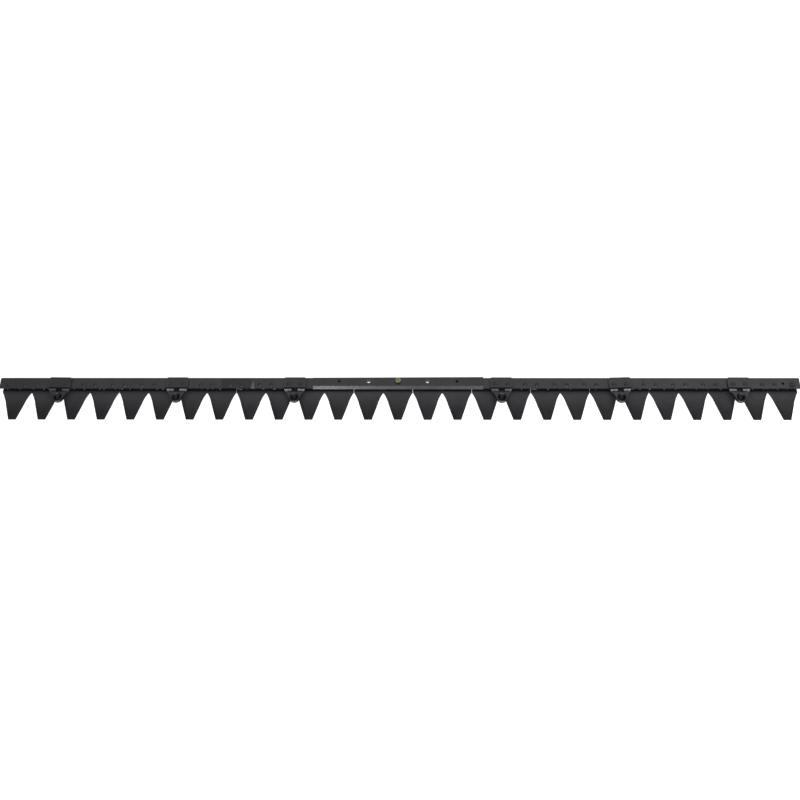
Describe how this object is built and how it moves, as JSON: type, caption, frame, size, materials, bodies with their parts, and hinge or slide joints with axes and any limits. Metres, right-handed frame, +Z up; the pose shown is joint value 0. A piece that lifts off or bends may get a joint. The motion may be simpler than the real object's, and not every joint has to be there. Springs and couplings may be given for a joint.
{
  "type": "mower blade",
  "caption": "Toothed upper knife of a double-knife mower bar: riveted steel sections under a knife back with a bevelled drive rail and ball-socket guide plates.",
  "frame": {"origin": "under the middle of the outline, on the flat underside of the sections", "axes": "+X along the knife, -Y towards the tooth tips, +Z up out of the riveted side"},
  "size_m": [1.9, 0.1064, 0.0218],
  "materials": {
    "section_paint": "semi-gloss black paint",
    "rivet_paint": "semi-gloss black paint",
    "plate_paint": "semi-gloss black paint over forged steel",
    "back_paint": "semi-gloss black paint",
    "rail_paint": "semi-gloss black paint",
    "bolt_zinc": "yellow zinc plating"
  },
  "bodies": {
    "root": {"drive_bolt": "bolt_zinc", "drive_rail": "rail_paint", "guide_plate_1": "plate_paint", "guide_plate_2": "plate_paint", "guide_plate_3": "plate_paint", "guide_plate_4": "plate_paint", "guide_plate_5": "plate_paint", "guide_plate_6": "plate_paint", "guide_rivets_1": "rivet_paint", "guide_rivets_2": "rivet_paint", "guide_rivets_3": "rivet_paint", "guide_rivets_4": "rivet_paint", "guide_rivets_5": "rivet_paint", "guide_rivets_6": "rivet_paint", "knife_back_left": "back_paint", "knife_back_right": "back_paint", "section_01": "section_paint", "section_02": "section_paint", "section_03": "section_paint", "section_04": "section_paint", "section_05": "section_paint", "section_06": "section_paint", "section_07": "section_paint", "section_08": "section_paint", "section_09": "section_paint", "section_10": "section_paint", "section_11": "section_paint", "section_12": "section_paint", "section_13": "section_paint", "section_14": "section_paint", "section_rivets_01": "rivet_paint", "section_rivets_02": "rivet_paint", "section_rivets_03": "rivet_paint", "section_rivets_04": "rivet_paint", "section_rivets_05": "rivet_paint", "section_rivets_06": "rivet_paint", "section_rivets_07": "rivet_paint", "section_rivets_08": "rivet_paint", "section_rivets_09": "rivet_paint", "section_rivets_10": "rivet_paint", "section_rivets_11": "rivet_paint", "section_rivets_12": "rivet_paint", "section_rivets_13": "rivet_paint", "section_rivets_14": "rivet_paint"}
  },
  "joints": []
}
